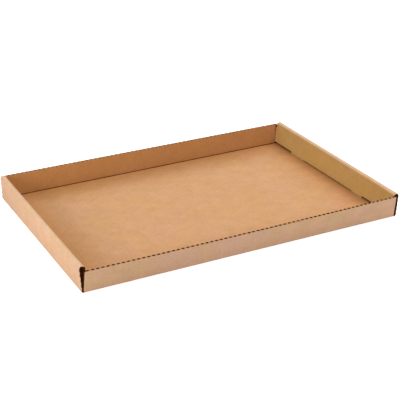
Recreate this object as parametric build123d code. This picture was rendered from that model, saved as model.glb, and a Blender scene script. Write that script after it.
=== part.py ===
from build123d import *
import os

# Shallow tray for flat goods, die-cut and folded from one sheet of single-wall corrugated board.
# The long walls are one board thick, with a raw cut top edge, and lean outwards. The short ends roll over:
# an outer panel rises from the base, turns tightly over at the top and slants down inside, where two tabs
# lock into slots in the base. Each long wall ends in two corner flaps, held between the layers of an end.
# The sheet is one piece of board throughout, so the tray is one solid.
# Frame: X along the tray, Y across it, Z up, origin in the middle of the underside.

# Driving dimensions, in millimetres
tray_length = 450.0          # over the two ends, at their foot
tray_width = 310.0           # over the long walls, at their foot
end_height = 35.0            # from the underside to the top of a roll-over
board = 2.8                  # thickness of the corrugated board
crease_inside_radius = 0.4   # inside a fold at the base or at a corner
end_flare = 2.7              # how far the top of an end stands out past its foot
turn_flat = 0.6              # straight stretch between the two bends of a turn
flare_at_ends = 4.5          # how far the top of a long wall stands out past its foot, at its two ends
flare_at_middle = 6.5        # and halfway along, where nothing holds it
flap_length = 95.0           # from the foot of a long wall to the free end of a corner flap
flap_taper = 8.0             # how much shorter a corner flap is at its top
tab_length = 30.6
tab_spacing = 155.2          # from the middle of one tab to the middle of the other
tab_corner_radius = 1.2

# Clearances, in millimetres
layer_play = 0.2             # between a corner flap and each layer of the end, under the turn
foot_play = 1.7              # between the same three layers at their foot, in all
top_play = 1.4               # between a long wall's top and the roll-over above it
corner_cut = 0.45            # between the crease of a long wall and the crease of an end
panel_side_play = 1.2        # between an inner panel's sides and the long walls
panel_foot_play = 1.2        # between an inner panel's lower edge and the base, from tab to tab
corner_foot_play = 2.5       # the same, from a tab to the corner
tab_end_play = 0.5           # between a tab and each end of its slot
tab_face_play = 0.3          # between a tab and each side of its slot
tab_recess = 0.4             # how far a tab stops short of the underside

half_length = tray_length / 2
half_width = tray_width / 2
crease_radius = crease_inside_radius + board
wall_top = end_height - board - top_play
turn_width = 3 * board + 2 * layer_play
turn_radius = (turn_width - turn_flat) / 2
turn_foot = end_height - turn_radius


def end_face(height):
    """Outer face of the right end, which leans outwards."""
    return half_length + end_flare * height / end_height


def panel_face(height):
    """Inner face of the right end, which slants from the turn at its top down to the slots."""
    foot = half_length - 3 * board - foot_play
    top = end_face(end_height) - turn_width
    return foot + (top - foot) * (height - board) / (end_height - board)


def panel_edge(height):
    """Half the width of an inner panel: it follows the leaning long walls, up to the turn's own width."""
    lean = flare_at_ends * (height - crease_radius) / (wall_top - crease_radius)
    return min(half_width, half_width + lean - board - panel_side_play)


def folded_strip(outer_face):
    """Section of the board along a folded line, which is the outer face of the fold."""
    return make_face(outer_face.wire().offset_2d(board, side=Side.RIGHT))


def base_panel():
    """Flat bottom between the four creases, with a slot for each tab."""
    panel = Rectangle(tray_length - 2 * crease_radius, tray_width - 2 * crease_radius)
    slot_inner = panel_face(0) - tab_face_play
    slot_outer = panel_face(board) + board + tab_face_play
    slot = Rectangle(slot_outer - slot_inner, tab_length + 2 * tab_end_play)
    slots = GridLocations(slot_inner + slot_outer, tab_spacing, 2, 2) * slot
    return extrude(panel - slots, board)


def side_slice(height, corner_flare, middle_flare, flap_reach):
    """Level slice of a long wall and its two corner flaps: a strip of board, bent at both corners."""
    flap_face = end_face(height) - board - layer_play
    corner = flap_face - crease_radius
    flap_end = flap_reach - half_width
    faces = ((0, crease_radius), (board, crease_inside_radius))
    with BuildSketch(Plane.XY.offset(height)) as strip:
        with BuildLine():
            for depth, radius in faces:
                end_y = depth - half_width - corner_flare
                middle_y = depth - half_width - middle_flare
                Spline((-corner, end_y), (0, middle_y), (corner, end_y))
                for side in (-1, 1):
                    face_x = side * (flap_face - depth)
                    RadiusArc((side * corner, end_y), (face_x, end_y + radius), -side * radius)
                    Line((face_x, end_y + radius), (face_x, flap_end))
            for side in (-1, 1):
                Line((side * flap_face, flap_end), (side * (flap_face - board), flap_end))
        make_face()
    return strip.sketch


def long_side():
    """Front long wall, with its crease at the base and its two corner flaps."""
    foot = side_slice(crease_radius, 0, 0, flap_length)
    top = side_slice(wall_top, flare_at_ends, flare_at_middle, flap_length - flap_taper)
    with BuildLine(Plane.YZ) as crease:
        JernArc((-half_width, crease_radius), (0, -1), crease_radius, 90)
    crease_reach = half_length - crease_radius - corner_cut
    return loft([foot, top], ruled=True) + extrude(folded_strip(crease), crease_reach, both=True)


def panel_outline():
    """Inner panel of an end as seen along the tray: its foot, its two tabs and its narrowing sides."""
    foot = board + panel_foot_play
    corner_foot = board + corner_foot_play
    tab_inner = (tab_spacing - tab_length) / 2
    tab_outer = (tab_spacing + tab_length) / 2
    with BuildSketch() as outline:
        with BuildLine():
            Polyline(
                (0, foot), (tab_inner, foot), (tab_inner, tab_recess), (tab_outer, tab_recess),
                (tab_outer, corner_foot), (panel_edge(corner_foot), corner_foot),
                (panel_edge(turn_foot), turn_foot), (0, turn_foot),
            )
            mirror(about=Plane.YZ)
        make_face()
        fillet(outline.vertices().group_by(Axis.Y)[0], tab_corner_radius)
    return outline.sketch


def rolled_end():
    """Right end: one strip from the crease up, over the turn and down inside, with its tabs die-cut."""
    crease_start = half_length - crease_radius
    top = end_face(end_height)
    with BuildLine(Plane.XZ) as fold:
        FilletPolyline(
            (crease_start, 0), (half_length, 0), (top, end_height),
            (top - turn_width, end_height), (panel_face(0), 0),
            radius=(crease_radius, turn_radius, turn_radius),
        )
    strip = extrude(folded_strip(fold), half_width, both=True)
    under_turn = Pos(0, (turn_foot - board) / 2) * Rectangle(tray_width, turn_foot + board)
    waste = Plane.YZ * (under_turn - panel_outline())
    return strip - extrude(waste, crease_start)


front = long_side()
right = rolled_end()
tray = base_panel() + front + right + mirror(front, Plane.XZ) + mirror(right, Plane.YZ)

os.makedirs("parts", exist_ok=True)
export_step(tray, "parts/folded_tray.step")
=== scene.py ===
import math

import bmesh
import bpy
from mathutils import Matrix, Vector


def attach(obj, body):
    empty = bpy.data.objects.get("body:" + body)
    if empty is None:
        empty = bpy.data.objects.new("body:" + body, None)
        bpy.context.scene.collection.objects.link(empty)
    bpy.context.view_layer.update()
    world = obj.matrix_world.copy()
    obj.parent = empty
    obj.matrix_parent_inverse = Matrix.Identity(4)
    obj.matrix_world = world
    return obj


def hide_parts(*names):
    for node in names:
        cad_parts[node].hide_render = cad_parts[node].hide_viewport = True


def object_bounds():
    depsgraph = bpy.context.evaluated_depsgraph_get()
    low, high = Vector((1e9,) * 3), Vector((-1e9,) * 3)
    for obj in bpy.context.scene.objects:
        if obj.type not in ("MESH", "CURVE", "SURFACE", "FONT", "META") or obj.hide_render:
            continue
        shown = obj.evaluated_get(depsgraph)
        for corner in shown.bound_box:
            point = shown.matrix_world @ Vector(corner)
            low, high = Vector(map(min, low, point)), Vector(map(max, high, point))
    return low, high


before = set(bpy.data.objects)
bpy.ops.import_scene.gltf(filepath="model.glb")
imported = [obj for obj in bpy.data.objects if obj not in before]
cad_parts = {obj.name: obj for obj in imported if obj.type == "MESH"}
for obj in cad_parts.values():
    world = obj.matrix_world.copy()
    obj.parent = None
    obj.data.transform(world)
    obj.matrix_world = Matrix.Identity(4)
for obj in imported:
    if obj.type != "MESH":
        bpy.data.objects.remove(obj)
cad_low, cad_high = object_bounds()

# The die-cut sheet
# One sheet of single-wall corrugated board, cut and creased by a die, with its flutes from front to back:
# a base, two long walls with corner flaps, and two ends that roll over and lock with tabs. A place on it
# is a along the tray and b across it, from the middle, and a depth below the outer liner.

board = 0.0028
flute_pitch = 0.0065
steps_per_flute = 8

end_overhang = 0.00237       # how far the solid's ends stand out past their foot, at their turn
side_overhang = 0.0065       # the same for its long walls, at their top, halfway along
half_length = cad_high.x - end_overhang
half_width = cad_high.y - side_overhang
end_height = cad_high.z

# Bends, each with its radius and length on the outer liner
fold_radius = 0.0024         # at the base
fold_run = fold_radius * math.pi / 2
corner_radius = 0.0016       # between a long wall and a corner flap
corner_run = corner_radius * math.pi / 2
turn_radius = 0.0041         # at the top of an end, twice
turn_run = turn_radius * math.pi / 2
turn_width = 0.0087          # across the top of an end

layer_play = 0.0003          # between a corner flap and the outer layer of an end
foot_play = 0.0017           # between the three layers of an end at their foot, in all
top_play = 0.0012            # between a long wall's top and the roll-over above it
panel_side_play = 0.0012     # between an inner panel's sides and the long walls
panel_foot_play = 0.0012     # between an inner panel's lower edge and the base, from tab to tab
corner_foot_play = 0.0025    # the same, from a tab to the corner

flap_length = 0.095
flap_slit = 0.0004           # between a corner flap's lower edge and the crease at the base
flap_relief = 0.0012         # how much lower a corner flap's top is cut than its wall's
tab_recess = 0.0004          # how far a tab stops short of the underside
tab_end_play = 0.0005        # between a tab and each end of its slot
tab_face_play = 0.0003       # between a tab and each side of its slot
tab_spans = {                # from the middle of an end to the two sides of a tab
    -1: (0.0627, 0.0889),    # in front
    1: (0.0654, 0.1009),     # at the back
}

base_a = half_length - fold_radius
base_b = half_width - fold_radius
flap_face = half_length - board - layer_play
panel_face = half_length - 3 * board - foot_play
slot_inner = panel_face - tab_face_play
slot_outer = panel_face + board + tab_face_play
wall_top = end_height - board - top_play
turn_start = end_height - turn_radius

# Distances along an end, from the edge of the base
outer_end = fold_run + turn_start - fold_radius
first_turn_end = outer_end + turn_run
flat_end = first_turn_end + turn_width - 2 * turn_radius
second_turn_end = flat_end + turn_run
corner_foot = second_turn_end + turn_start - board - corner_foot_play
panel_foot = second_turn_end + turn_start - board - panel_foot_play
tab_foot = second_turn_end + turn_start - tab_recess

# Places along a long wall and its corner flap, and the wall's height from the edge of the base
corner_a = flap_face - corner_radius
flap_start = corner_a + corner_run
relief_start = flap_start - corner_run / 3
flap_end = flap_start + flap_length - corner_radius
wall_rise = fold_run + wall_top - fold_radius


def kept(a, b):
    """Whether the die leaves the sheet at this point."""
    tab_inner, tab_outer = tab_spans[math.copysign(1, b)]
    a, b = abs(a), abs(b)
    run, rise = a - base_a, b - base_b
    if a > base_a and b < half_width:  # an end
        if run < corner_foot:
            return True
        if run < panel_foot:
            return b < tab_outer
        return run < tab_foot and tab_inner < b < tab_outer
    if b < base_b:  # the base
        in_slot = slot_inner < a < slot_outer and tab_inner - tab_end_play < b < tab_outer + tab_end_play
        return a < base_a and not in_slot
    if rise < fold_run:  # the crease of a long wall
        return a < flap_face
    if rise < fold_run + flap_slit:
        return a < corner_a
    if rise > wall_rise - flap_relief:
        return rise < wall_rise and a < relief_start
    return rise < wall_rise and a < flap_end


def mirrored(marks):
    """Grid lines at these distances on both sides of 0."""
    lines = sorted(marks)
    return [-line for line in reversed(lines) if line > 0] + lines


def with_steps(marks, step):
    """The marks, and even steps from 0 wherever no mark is close by."""
    even = [k * step for k in range(int(max(marks) / step) + 1)]
    return marks + [line for line in even if min(abs(line - mark) for mark in marks) > step / 4]


run_marks = (0, fold_run, outer_end, first_turn_end, flat_end, second_turn_end)
foot_marks = (corner_foot, panel_foot, tab_foot)
a_marks = [base_a + run for run in run_marks + foot_marks]
a_marks += [slot_inner, slot_outer, flap_face, corner_a, flap_start, relief_start, flap_end]
a_lines = mirrored(with_steps(a_marks, flute_pitch / steps_per_flute))

fold_steps = 6
dip_rows = (0.001, 0.002, 0.0035)                              # from the crease, into the base
rows_below_top = (0.0142, 0.0052, 0.0030, 0.0015, 0.0006, 0)   # closest where the raw edge sags
row_beside_end = 0.0006                                        # from an end's raw side

b_marks = [0, half_width - row_beside_end, half_width]
for inner, outer in tab_spans.values():
    b_marks += [inner, outer, inner - tab_end_play, outer + tab_end_play]
b_marks += [base_b - dip for dip in dip_rows]
b_marks += [base_b + fold_run * k / fold_steps for k in range(fold_steps + 1)]
b_marks += [base_b + (wall_rise - gap) for gap in rows_below_top]
b_marks += [base_b + fold_run + flap_slit, base_b + wall_rise - flap_relief]
b_lines = mirrored(b_marks)

# The folds
# Each crease turns the sheet up by a quarter. An end turns over twice more at its top and comes down
# inside, with its tabs in the base's slots. A corner flap turns in behind an end's outer layer.

# How this tray was made up a little unevenly, as far as the photograph shows it. The values belong to
# the left end (-1) and the right end (1), and each pair to the front and the back of that end.
end_lean = {-1: (0.0020, 0.0003), 1: (0.0033, 0.0046)}       # how far its top leans out
end_rise = {-1: (0.0013, 0), 1: (-0.0015, -0.0005)}          # how far its top stands above end_height
crest_pinch = {-1: (0.0014, 0.0008), 1: (0.0013, 0.0013)}    # how much narrower its turned top is
corner_lean = {-1: (-0.0013, 0), 1: (0.0002, 0.001)}         # how far a long wall's corner leans out there
corner_foot_shift = {-1: (0.001, 0), 1: (0, 0)}              # and how far out its foot stands

# The same for the long walls, in front (-1) and at the back (1)
side_flare = {-1: (0.0053, 0.0067, 0.0039), 1: (0.0073, 0.0058, 0.0040)}    # left, middle and right
rim_tilt = {-1: 0.0005, 1: -0.0002}    # how much lower the outer liner's raw edge is than the inner one's

end_rise_start = 0.006       # height from which an end starts to rise
crest_pinch_start = 0.012    # distance from an end's raw side where its turned top starts to open
crest_pinch_loss = 0.6       # and the share of the pinch that is gone at the side
panel_draw_start = 0.105     # distance from the middle where an inner panel starts to narrow
flap_spring = 0.015          # length over which a corner flap comes to lie along its end
lean_spread = 0.02           # length of the base and long walls over which an end's lean fades away
rim_tilt_reach = 0.003

crease_dip = 0.0005          # how far the inner liner sinks at a crease
crease_dip_reach = 0.003
washboard = 0.00003          # how far the liners sink between the flute tips
wall_edge_sag = 0.0003       # how much further at the raw top of a long wall
end_edge_sag = 0.0006        # and at the raw side of an end
edge_sag_reach = 0.002
smallest_gap = 1e-7


def flare(side, x):
    """How far the top of a long wall leans out at x, by three measured places along it."""
    left, middle, right = side_flare[side]
    along = max(-1, min(1, x / half_length))
    straight = (left + right) / 2 + (right - left) / 2 * along
    return straight + (middle - (left + right) / 2) * (1 - along**2)


def across(front_and_back, y):
    """A value at y, from its values at the front and at the back."""
    front, back = front_and_back
    return front + (back - front) * (y / half_width + 1) / 2


def smooth(value, low, high):
    """0 below low, 1 above high, and a smooth step between them."""
    t = max(0, min(1, (value - low) / (high - low)))
    return t * t * (3 - 2 * t)


def sagged(a, b, depth):
    """Depth of a point once the liners have sunk between the flute tips, most of all at a raw edge."""
    past_base = abs(a) > base_a
    raw_edge = half_width if past_base and abs(b) <= half_width else base_b + wall_rise
    edge_sag = end_edge_sag if past_base else wall_edge_sag
    sag = washboard + edge_sag * math.exp(-(raw_edge - abs(b)) / edge_sag_reach)
    tip = math.cos(2 * math.pi * a / flute_pitch)
    outer, inner = sag * (0.5 - 0.5 * tip), -sag * (0.5 + 0.5 * tip)
    return depth + outer + (inner - outer) * depth / board


def fold_end(a, b, depth):
    """A point of an end: the crease, the outer panel, the turn over the top and the inner panel."""
    run = abs(a) - base_a
    end, side = math.copysign(1, a), math.copysign(1, b)
    near_side = smooth(abs(b), half_width - crest_pinch_start, half_width)
    pinch = across(crest_pinch[end], b) * (1 - crest_pinch_loss * near_side)
    inner_top = half_length - turn_width + pinch
    bend = turn_radius - pinch / 2
    up = end_height - bend
    if run < fold_run:
        angle = run / fold_radius
        out = min(base_a + (fold_radius - depth) * math.sin(angle), half_length - depth)
        up = max(fold_radius - (fold_radius - depth) * math.cos(angle), depth)
    elif run < outer_end:
        climb = (run - fold_run) / (outer_end - fold_run)
        out = half_length - depth
        up = max(fold_radius + (up - fold_radius) * climb, depth)
    elif run < first_turn_end:
        angle = (run - outer_end) / turn_radius
        out = half_length - bend + (bend - depth) * math.cos(angle)
        up += (bend - depth) * math.sin(angle)
    elif run < flat_end:
        out = half_length - bend - (run - first_turn_end)
        up = end_height - depth
    elif run < second_turn_end:
        angle = (run - flat_end) / turn_radius
        out = inner_top + bend - (bend - depth) * math.sin(angle)
        up += (bend - depth) * math.cos(angle)
    else:
        drop = (run - second_turn_end) / (tab_foot - second_turn_end)
        out = inner_top + (panel_face - inner_top) * drop + depth
        up += (tab_recess - up) * drop
    wall_lean = flare(side, a) * (min(up, turn_start) - fold_radius) / (wall_top - fold_radius)
    draw = max(0, board + panel_side_play - wall_lean) * smooth(run, flat_end, second_turn_end)
    up += across(end_rise[end], b) * smooth(up, end_rise_start, turn_start)
    return end * out, b - side * draw * smooth(abs(b), panel_draw_start, half_width), up


def fold_side(a, b, depth):
    """A point of a long side: the crease, the leaning wall, and its corner flaps."""
    end, side = math.copysign(1, a), math.copysign(1, b)
    rise = abs(b) - base_b
    if rise <= fold_run:
        angle = rise / fold_radius
        out = min(base_b + (fold_radius - depth) * math.sin(angle), half_width - depth)
        return a, side * out, max(fold_radius - (fold_radius - depth) * math.cos(angle), depth)
    angle = max(0, min(abs(a) - corner_a, corner_run)) / corner_radius
    along = min(abs(a), corner_a) + (corner_radius - depth) * math.sin(angle)
    along_flap = max(0, abs(a) - flap_start)
    out = half_width - corner_radius + (corner_radius - depth) * math.cos(angle) - along_flap
    along, out = min(along, flap_face - depth), min(out, half_width - depth)
    up = max(fold_radius + rise - fold_run, depth)
    up -= rim_tilt[side] * (1 - depth / board) * smooth(rise, wall_rise - rim_tilt_reach, wall_rise)
    out += flare(side, end * along) * (up - fold_radius) / (wall_top - fold_radius)
    return end * along, side * out, up


def fold(a, b, depth):
    """Where a point of the flat sheet lies in the made-up tray."""
    depth = sagged(a, b, depth)
    with_end = 1
    if abs(a) > base_a - smallest_gap and abs(b) < half_width + smallest_gap:
        x, y, z = fold_end(a, b, depth)
    elif abs(b) > base_b:
        x, y, z = fold_side(a, b, depth)
        with_end = smooth(abs(a) - flap_start, 0, flap_spring)
    else:
        to_fold = min(base_a - abs(a), base_b - abs(b))
        dip = crease_dip * (1 - smooth(to_fold, 0, crease_dip_reach))
        x = math.copysign(min(abs(a), half_length - depth), a)
        y = math.copysign(min(abs(b), half_width - depth), b)
        z = depth * (1 - dip / board)
    end = math.copysign(1, x)
    lean = with_end * across(end_lean[end], y) + (1 - with_end) * across(corner_lean[end], y)
    shift = lean * z / end_height + (1 - with_end) * across(corner_foot_shift[end], y)
    shift *= smooth(abs(x), panel_face - lean_spread, panel_face)
    return Vector((x + end * shift, y, z))


# The made-up tray
# The sheet's two liners, folded, with its raw edges. Across the flutes an edge shows the fluted paper,
# glued to the liners at the tips of its waves, with cells beside it that are painted dark as shade. Along
# them it shows a slit.

liner = 0.00032              # thickness of a liner
medium = 0.00026             # thickness of the fluted paper
cell_depth = 0.009           # how far in from a raw edge the cells are made
pressed_cell_depth = 0.0005  # the same beside the inner liner along a wall's top, where they are pressed
slit_depth = 0.0015
closed_cell = 1e-6           # a cell narrower than this isn't made
sharp_angle = math.radians(40)
key_steps = 1e7              # to a metre: corners of faces that fall in one step share a vertex

# The surfaces, numbered in the order in which their papers join the mesh
OUTER, INNER, EDGE, CELL, RIM, PRESSED = range(6)

sheet = bmesh.new()
flat_place = sheet.verts.layers.float_vector.new("flat_place")
points = {}


def flute(a):
    """Depth of the fluted paper's middle below the outer liner, at distance a along the sheet."""
    swing = (board - medium) / 2 - liner
    return board / 2 - swing * math.cos(2 * math.pi * a / flute_pitch)


def point(a, b, depth):
    """The mesh's one vertex at this place of the sheet."""
    key = (round(a * key_steps), round(b * key_steps), round(depth * key_steps))
    if key not in points:
        points[key] = sheet.verts.new(fold(a, b, depth))
        points[key][flat_place] = (a, b, depth)
    return points[key]


def face(kind, *places):
    """A face of the mesh, unless its corners fall together."""
    ring = list(dict.fromkeys(point(*place) for place in places))
    if len(ring) > 2 and sheet.faces.get(ring) is None:
        sheet.faces.new(ring).material_index = kind


def edge_across_flutes(ends, b, inward):
    """Raw edge between two grid lines. Each of the ends is its place a, and whether the cells stop there.

    A cell lies between the back of a liner and the fluted paper.
    """
    (a0, shut0), (a1, shut1) = ends
    on_rim = abs(b) > half_width and abs(a0 + a1) / 2 < corner_a
    edge = RIM if on_rim else EDGE
    marks = []
    for a, shut in ends:
        low = liner if shut else max(liner, flute(a) - medium / 2)
        high = board - liner if shut else min(board - liner, flute(a) + medium / 2)
        marks.append((low, high))
    (low0, high0), (low1, high1) = marks
    face(edge, (a0, b, 0), (a1, b, 0), (a1, b, liner), (a0, b, liner))
    face(edge, (a0, b, low0), (a1, b, low1), (a1, b, high1), (a0, b, high0))
    face(edge, (a0, b, board - liner), (a1, b, board - liner), (a1, b, board), (a0, b, board))
    for back, paper0, paper1 in ((liner, low0, low1), (board - liner, high0, high1)):
        if abs(paper0 - back) + abs(paper1 - back) < closed_cell:
            continue
        pressed = on_rim and back > board / 2
        cell = PRESSED if pressed else CELL
        far = b + inward * (pressed_cell_depth if pressed else cell_depth)
        face(cell, (a0, b, back), (a1, b, back), (a1, far, back), (a0, far, back))
        face(cell, (a0, b, paper0), (a1, b, paper1), (a1, far, paper1), (a0, far, paper0))
        face(cell, (a0, far, back), (a1, far, back), (a1, far, paper1), (a0, far, paper0))


def edge_along_flutes(a, inward, ends):
    """Raw edge between two grid lines. Each of the ends is its place b, and whether the slit stops there."""
    (b0, shut0), (b1, shut1) = ends
    far0 = a if shut0 else a + inward * slit_depth
    far1 = a if shut1 else a + inward * slit_depth
    for near, deep in ((0, liner), (board - liner, board)):
        face(EDGE, (a, b0, near), (a, b1, near), (a, b1, deep), (a, b0, deep))
    for back in (liner, board - liner):
        face(CELL, (a, b0, back), (a, b1, back), (far1, b1, back), (far0, b0, back))
    face(CELL, (far0, b0, liner), (far1, b1, liner), (far1, b1, board - liner), (far0, b0, board - liner))


patches = {
    (i, j)
    for i in range(len(a_lines) - 1)
    for j in range(len(b_lines) - 1)
    if kept((a_lines[i] + a_lines[i + 1]) / 2, (b_lines[j] + b_lines[j + 1]) / 2)
}


def bare(i, j, di, dj):
    """Whether this patch of the sheet is there and has a raw edge on that side."""
    return (i, j) in patches and (i + di, j + dj) not in patches


for i, j in sorted(patches):
    a0, a1, b0, b1 = a_lines[i], a_lines[i + 1], b_lines[j], b_lines[j + 1]
    for kind, depth in ((OUTER, 0), (INNER, board)):
        face(kind, (a0, b0, depth), (a1, b0, depth), (a1, b1, depth), (a0, b1, depth))
    for way in (-1, 1):
        if bare(i, j, 0, way):
            ends = ((a0, not bare(i - 1, j, 0, way)), (a1, not bare(i + 1, j, 0, way)))
            edge_across_flutes(ends, b1 if way > 0 else b0, -way)
        if bare(i, j, way, 0):
            ends = ((b0, not bare(i, j - 1, way, 0)), (b1, not bare(i, j + 1, way, 0)))
            edge_along_flutes(a1 if way > 0 else a0, -way, ends)

bmesh.ops.remove_doubles(sheet, verts=sheet.verts, dist=smallest_gap)
bmesh.ops.recalc_face_normals(sheet, faces=sheet.faces)
tray_mesh = bpy.data.meshes.new("tray_sheet")
sheet.to_mesh(tray_mesh)
sheet.free()
tray_mesh.polygons.foreach_set("use_smooth", [True] * len(tray_mesh.polygons))
tray_mesh.set_sharp_from_angle(angle=sharp_angle)
tray = bpy.data.objects.new("tray_sheet", tray_mesh)
bpy.context.collection.objects.link(tray)

# The paper
# Uncoated brown kraft. Short fibres lie mostly along the tray, across the flutes, over a cloudy sheet
# with darker and lighter flecks. Over the flutes the liners are painted with faint stripes of shade, for
# their washboard, and painted shade and light lie on as tints near the creases, on the crests and in the
# corner gaps.

mottle_share = 0.9
cloud_middle = 0.95
cross_fibre_share = 0.6
fibres_low, fibres_middle, fibres_high = 0.5, 0.8, 1.1
noise_roughness = 0.6
fleck_edge = 0.08
dark_fleck_shade = -0.16
light_fleck_shade = 0.07
warm_from, warm_to = 0.35, 0.65            # of the noise that mixes the two tones
flute_shade_from, flute_shade_to = -0.3, 0.6         # of the flutes' cosine, for stripes with firmer edges
roughest, smoothest = 0.92, 0.78
fibre_height = 0.00008                     # of the fibres, the grain and the clouds, by these shares
fibre_relief, grain_relief, cloud_relief = 0.6, 0.4, 0.8

no_tint = (1, 1, 1, 1)
# Painted shade: the inner liner is painted darker and redder near a crease, for the shade there and the
# light bounced into it off the kraft
crease_shade_reach = 0.04
# A dark line along each long crease: partly the crushed crease's own darker paper, partly painted shade in
# the corner
crease_line_width = 0.0025                 # into the base, besides the crease itself
crease_line_fade = 0.0006
crease_line_dark_and_shade = (0.22, 0.05, 0.01, 1)
# Painted light: the crest of each end's turned top is painted lighter
crest_from = outer_end + 0.2 * turn_run    # along the first bend of a turn
crest_to = outer_end + 0.7 * turn_run
crest_painted_light = (1.08, 1.14, 1.15, 1)
# Painted shade: past the crest, where the outer liner turns inside an end, it is painted darker and yellower
turned_shade_from = flat_end + 0.4 * turn_run    # along its second bend
turned_shade_to = flat_end + 0.85 * turn_run

# Where a long wall and its flap go out of sight, outside and inside behind the end's slanting panel, the
# paper is painted near black as painted shade in the corner gaps
hidden_outside = corner_a + 0.0009
hidden_inside = panel_face + 0.0008
panel_slant = 0.18
hidden_fade = 0.0008
hidden_foot_fade = 0.0005
gap_painted_shade = (0.11, 0.04, 0.015, 1)
off_sheet = 1                              # a place along that no sheet reaches


def add_node(tree, kind, inputs=None, **settings):
    """A shader node with its settings, each input given as a value or as the socket that feeds it."""
    node = tree.nodes.new(kind)
    for name, value in settings.items():
        setattr(node, name, value)
    for name, value in (inputs or {}).items():
        if isinstance(value, bpy.types.NodeSocket):
            tree.links.new(value, node.inputs[name])
        else:
            node.inputs[name].default_value = value
    return node


def maths(tree, operation, *values):
    """The result of one Math node."""
    return add_node(tree, "ShaderNodeMath", dict(enumerate(values)), operation=operation).outputs[0]


def with_share(tree, total, value, share):
    """A total with a share of another value added to it."""
    return maths(tree, "ADD", total, maths(tree, "MULTIPLY", value, share))


def remapped(tree, value, low, high, to_low, to_high):
    """A value moved from one range to another and held inside it."""
    inputs = {"Value": value, "From Min": low, "From Max": high, "To Min": to_low, "To Max": to_high}
    return add_node(tree, "ShaderNodeMapRange", inputs).outputs["Result"]


def stretched_noise(tree, place, stretch, detail):
    """Noise between 0 and 1 over the sheet, with its own number of features a metre each way."""
    scaled = add_node(tree, "ShaderNodeVectorMath", {0: place, 1: stretch}, operation="MULTIPLY")
    inputs = {"Vector": scaled.outputs[0], "Scale": 1, "Detail": detail, "Roughness": noise_roughness}
    return add_node(tree, "ShaderNodeTexNoise", inputs).outputs["Fac"]


def flecks(tree, place, stretch, rarity):
    """1 on scattered small flecks and 0 between them."""
    return remapped(tree, stretched_noise(tree, place, stretch, 1), rarity, rarity + fleck_edge, 0, 1)


def mixed(tree, share, first, second):
    """A colour between two others."""
    inputs = {"Factor": share, 6: first, 7: second}
    return add_node(tree, "ShaderNodeMix", inputs, data_type="RGBA").outputs[2]


def tinted(tree, colour, tint):
    """A colour multiplied by a tint."""
    return add_node(tree, "ShaderNodeVectorMath", {0: colour, 1: tint}, operation="MULTIPLY").outputs[0]


kraft = bpy.data.node_groups.new("kraft_paper_and_painted_light", "ShaderNodeTree")
for name, kind in (
    ("Place", "Vector"),
    ("Tone", "Color"),
    ("Warm tone", "Color"),
    ("Crease painted shade", "Color"),
    ("Crease line shade", "Float"),
    ("Turned painted shade", "Color"),
    ("Gap shade start", "Float"),
    ("Gap shade slope", "Float"),
    ("Cloud", "Float"),
    ("Fibre", "Float"),
    ("Flute shade", "Float"),
):
    kraft.interface.new_socket(name, in_out="INPUT", socket_type="NodeSocket" + kind)
for name, kind in (("Color", "Color"), ("Roughness", "Float"), ("Height", "Float")):
    kraft.interface.new_socket(name, in_out="OUTPUT", socket_type="NodeSocket" + kind)

given = kraft.nodes.new("NodeGroupInput").outputs
place = given["Place"]
cloud = stretched_noise(kraft, place, (45, 60, 45), 4)
mottle = stretched_noise(kraft, place, (240, 330, 240), 2)
warmth = stretched_noise(kraft, place, (18, 14, 18), 3)
long_fibre = stretched_noise(kraft, place, (420, 2100, 2100), 2)
cross_fibre = stretched_noise(kraft, place, (1700, 520, 900), 2)
grain = stretched_noise(kraft, place, (3200, 3200, 3200), 1)
dark_fleck = flecks(kraft, place, (500, 900, 900), 0.68)
light_fleck = flecks(kraft, place, (900, 600, 1200), 0.70)

# Distances from the edge of the base, which are below 0 past it
along, over, _ = add_node(kraft, "ShaderNodeSeparateXYZ", {"Vector": place}).outputs
from_middle = maths(kraft, "ABSOLUTE", along)
to_end = maths(kraft, "SUBTRACT", base_a, from_middle)
to_side = maths(kraft, "SUBTRACT", base_b, maths(kraft, "ABSOLUTE", over))
to_crease = maths(kraft, "MAXIMUM", maths(kraft, "MINIMUM", to_end, to_side), 0)

# Light and dark in the paper itself, and stripes of painted shade by the flutes
flute_shade = maths(kraft, "COSINE", maths(kraft, "MULTIPLY", along, 2 * math.pi / flute_pitch))
flute_shade = remapped(kraft, flute_shade, flute_shade_from, flute_shade_to, -1, 1)
fibres = with_share(kraft, long_fibre, cross_fibre, cross_fibre_share)
clouds = with_share(kraft, cloud, mottle, mottle_share)
shade = maths(kraft, "MULTIPLY", maths(kraft, "SUBTRACT", clouds, cloud_middle), given["Cloud"])
shade = with_share(kraft, shade, maths(kraft, "SUBTRACT", fibres, fibres_middle), given["Fibre"])
shade = with_share(kraft, shade, flute_shade, given["Flute shade"])
shade = with_share(kraft, shade, dark_fleck, dark_fleck_shade)
shade = with_share(kraft, shade, light_fleck, light_fleck_shade)
brightness = maths(kraft, "ADD", shade, 1)

# Painted shade near the creases, painted light on the crest of an end, and painted shade past it
# How much painted crease shade falls here, fading with distance from the nearest crease
crease_shade_mask = maths(kraft, "POWER", maths(kraft, "DIVIDE", to_crease, crease_shade_reach), 2)
crease_shade_mask = maths(kraft, "EXPONENT", maths(kraft, "MULTIPLY", crease_shade_mask, -1))
crest_light_mask = remapped(kraft, to_end, -crest_from, -crest_to, 0, 1)
turned = remapped(kraft, to_end, -turned_shade_from, -turned_shade_to, 0, 1)
painted_light_and_shade_tint = mixed(kraft, crease_shade_mask, no_tint, given["Crease painted shade"])
painted_light_and_shade_tint = mixed(kraft, crest_light_mask, painted_light_and_shade_tint, crest_painted_light)
painted_light_and_shade_tint = mixed(kraft, turned, painted_light_and_shade_tint, given["Turned painted shade"])

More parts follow.
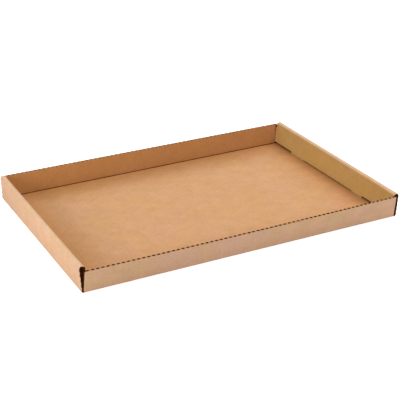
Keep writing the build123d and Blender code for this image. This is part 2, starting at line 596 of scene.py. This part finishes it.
# The dark line where a long wall folds up from the base: partly the crushed crease's own darker paper,
# partly painted shade in the corner
half_line = (fold_run + crease_line_width) / 2
from_line = maths(kraft, "ABSOLUTE", maths(kraft, "ADD", to_side, (fold_run - crease_line_width) / 2))
on_line = remapped(kraft, from_line, half_line, half_line + crease_line_fade, 1, 0)
on_line = maths(kraft, "MULTIPLY", on_line, given["Crease line shade"])
crease_line_shade_tint = mixed(kraft, on_line, no_tint, crease_line_dark_and_shade)

# Painted shade in a corner where the paper goes out of sight, starting farther along for each metre up by
# its slope
past_start = maths(kraft, "SUBTRACT", from_middle, given["Gap shade start"])
past_start = with_share(kraft, past_start, maths(kraft, "ADD", to_side, fold_run), given["Gap shade slope"])
gap_shade_mask = maths(
    kraft,
    "MULTIPLY",
    remapped(kraft, past_start, 0, hidden_fade, 0, 1),
    remapped(kraft, to_side, -fold_run + hidden_foot_fade, -fold_run, 0, 1),
)
gap_shade_tint = mixed(kraft, gap_shade_mask, no_tint, gap_painted_shade)

warm = remapped(kraft, warmth, warm_from, warm_to, 0, 1)
colour = mixed(kraft, warm, given["Tone"], given["Warm tone"])
# The tone, times the painted light and shade, the crease line and the painted shade of the corner gaps
for tint in (painted_light_and_shade_tint, crease_line_shade_tint, gap_shade_tint):
    colour = tinted(kraft, colour, tint)
shaded = add_node(kraft, "ShaderNodeVectorMath", {0: colour, 3: brightness}, operation="SCALE").outputs[0]
roughness = remapped(kraft, fibres, fibres_low, fibres_high, roughest, smoothest)
height = with_share(kraft, maths(kraft, "MULTIPLY", fibres, fibre_relief), grain, grain_relief)
height = with_share(kraft, height, cloud, cloud_relief)
add_node(kraft, "NodeGroupOutput", {"Color": shaded, "Roughness": roughness, "Height": height})


def paper(
    name, tone, warm_tone, gloss=0, crease_shade_tint=(1, 1, 1), crease_line_shade=0, turned_shade_tint=(1, 1, 1),
    gap_shade_start=off_sheet, gap_shade_slope=0, cloud=0.3, fibre=0.5, flute_shade=0,
):
    """One surface of the board, in two tones that mix in patches, with the paper's own marks and the painted
    light and shade that the kraft group adds.
    """
    material = bpy.data.materials.new(name)
    material.use_nodes = True
    tree = material.node_tree
    shader = tree.nodes["Principled BSDF"]
    shader.inputs["Specular IOR Level"].default_value = gloss
    inputs = {
        "Place": add_node(tree, "ShaderNodeAttribute", attribute_name="flat_place").outputs["Vector"],
        "Tone": (*tone, 1),
        "Warm tone": (*warm_tone, 1),
        "Crease painted shade": (*crease_shade_tint, 1),
        "Crease line shade": crease_line_shade,
        "Turned painted shade": (*turned_shade_tint, 1),
        "Gap shade start": gap_shade_start,
        "Gap shade slope": gap_shade_slope,
        "Cloud": cloud,
        "Fibre": fibre,
        "Flute shade": flute_shade,
    }
    look = add_node(tree, "ShaderNodeGroup", inputs, node_tree=kraft).outputs
    bump = add_node(tree, "ShaderNodeBump", {"Height": look["Height"], "Distance": fibre_height})
    tree.links.new(look["Color"], shader.inputs["Base Color"])
    tree.links.new(look["Roughness"], shader.inputs["Roughness"])
    tree.links.new(bump.outputs["Normal"], shader.inputs["Normal"])
    return material


# Painted shade, coloured by light bounced off the kraft: the outer liner is painted darker and yellower
# where it is turned inside, and the inner one darker and redder near a crease
liner_paper = {"gloss": 0.08, "cloud": 0.26, "fibre": 0.20, "flute_shade": 0.006}
outer_liner = paper(
    "outer_liner", (0.710, 0.435, 0.297), (0.700, 0.440, 0.250),
    turned_shade_tint=(0.955, 0.955, 0.54), gap_shade_start=hidden_outside, **liner_paper,
)
inner_liner = paper(
    "inner_liner", (0.724, 0.396, 0.215), (0.706, 0.398, 0.184),
    crease_shade_tint=(0.725, 0.6, 0.42), crease_line_shade=1,
    gap_shade_start=hidden_inside, gap_shade_slope=panel_slant, **liner_paper,
)
# Painted shade: the raw edges and the cells behind them are painted near black, for the shade among the open
# cells, and the rims along a wall's top and their pressed cells in dark and light stripes by the flutes
cut_edge_with_painted_shade = paper("cut_edge_with_painted_shade", (0.17, 0.060, 0.013), (0.12, 0.038, 0.008), flute_shade=0.5)
cell_painted_shade = paper("cell_painted_shade", (0.09, 0.016, 0.001), (0.08, 0.013, 0.001), fibre=0.2)
pressed_rim_painted_shade = paper("pressed_rim_painted_shade", (0.38, 0.215, 0.105), (0.36, 0.205, 0.095), flute_shade=0.97)
pressed_cell_painted_shade = paper("pressed_cell_painted_shade", (0.38, 0.205, 0.09), (0.36, 0.195, 0.08), fibre=0.2, flute_shade=0.97)
for material in (outer_liner, inner_liner, cut_edge_with_painted_shade, cell_painted_shade, pressed_rim_painted_shade, pressed_cell_painted_shade):
    tray_mesh.materials.append(material)

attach(tray, "root")
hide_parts("folded_tray")

# The floor and the light
# A plain white studio floor, which the camera sees as white apart from the tray's soft shadow. Soft
# lights hang high over the right, the front and the back, and low ones stand at the left and in front.

floor_reach = 12
floor_colour = (0.82, 0.82, 0.82, 1)
floor_glow = 0.68            # on top of the light that falls on it, where it is seen itself
room_light = 0.086           # from all around, beside the lamps
white = (1, 1, 1, 1)

floor_mesh = bpy.data.meshes.new("floor")
floor_mesh.from_pydata(
    [(x * floor_reach, y * floor_reach, 0) for x, y in ((-1, -1), (1, -1), (1, 1), (-1, 1))],
    [],
    [(0, 1, 2, 3)],
)
floor = bpy.data.objects.new("floor", floor_mesh)
bpy.context.collection.objects.link(floor)


def seen_itself(tree):
    """1 where the camera or a reflection sees the surface itself, and 0 where it only lights others."""
    path = add_node(tree, "ShaderNodeLightPath").outputs
    return maths(tree, "MAXIMUM", path["Is Camera Ray"], path["Is Glossy Ray"])


white_floor = bpy.data.materials.new("white_floor")
white_floor.use_nodes = True
tree = white_floor.node_tree
tree.nodes.clear()
diffuse = add_node(tree, "ShaderNodeBsdfDiffuse", {"Color": floor_colour})
glow_strength = maths(tree, "MULTIPLY", seen_itself(tree), floor_glow)
glow = add_node(tree, "ShaderNodeEmission", {"Color": white, "Strength": glow_strength})
both = add_node(tree, "ShaderNodeAddShader", {0: diffuse.outputs[0], 1: glow.outputs[0]})
add_node(tree, "ShaderNodeOutputMaterial", {"Surface": both.outputs[0]})
floor_mesh.materials.append(white_floor)

world = bpy.data.worlds.new("studio")
bpy.context.scene.world = world
world.use_nodes = True
tree = world.node_tree
background = tree.nodes["Background"]
tree.links.new(remapped(tree, seen_itself(tree), 0, 1, room_light, 1), background.inputs["Strength"])
background.inputs["Color"].default_value = white


def soft_light(name, place, size, power):
    """A rectangular area light aimed at the tray."""
    light = bpy.data.lights.new(name, "AREA")
    light.shape = "RECTANGLE"
    light.size, light.size_y = size
    light.energy = power
    lamp = bpy.data.objects.new(name, light)
    bpy.context.collection.objects.link(lamp)
    lamp.location = place
    lamp.rotation_euler = (-Vector(place)).to_track_quat("-Z", "Y").to_euler()


soft_light("right", (1.15, 0.1, 1.3), (0.6, 0.6), 8)
soft_light("top_back_right", (0.7, 0.7, 1.5), (0.6, 0.6), 6.7)
soft_light("top_front", (0, -1.1, 1.3), (0.8, 0.6), 7.9)
soft_light("top_front_right", (0.8, -0.8, 1.4), (0.8, 0.8), 3.9)
soft_light("back", (0, 1.7, 0.9), (1.6, 0.7), 8.7)
soft_light("left", (-0.75, -0.05, 0.22), (0.5, 0.3), 2.73)
soft_light("front", (0.1, -1.5, 0.15), (1.6, 0.25), 3.7)

bpy.context.scene.view_settings.view_transform = "Standard"

# The camera
# It looks down on the tray from the front left. Its place is worked out from the tray's own edges in
# the photograph, at 450 mm of tray, and its focal length is for the photograph's width in pixels.

azimuth, elevation, roll = math.radians(-26.33), math.radians(24.33), math.radians(-0.93)
target = Vector((0.01777, 0.01820, 0))
distance = 1.53204
focal_pixels = 1097.69
image_pixels = 400
sensor_width = 36

back = Vector((
    math.sin(azimuth) * math.cos(elevation),
    -math.cos(azimuth) * math.cos(elevation),
    math.sin(elevation),
))
level = (-back).cross(Vector((0, 0, 1))).normalized()
upright = back.cross(level)
right = level * math.cos(roll) + upright * math.sin(roll)
camera_data = bpy.data.cameras.new("camera")
camera_data.sensor_width = sensor_width
camera_data.lens = sensor_width * focal_pixels / image_pixels
camera = bpy.data.objects.new("camera", camera_data)
bpy.context.collection.objects.link(camera)
axes = Matrix((right, back.cross(right), back)).transposed()
camera.matrix_world = Matrix.Translation(target + back * distance) @ axes.to_4x4()
bpy.context.scene.camera = camera
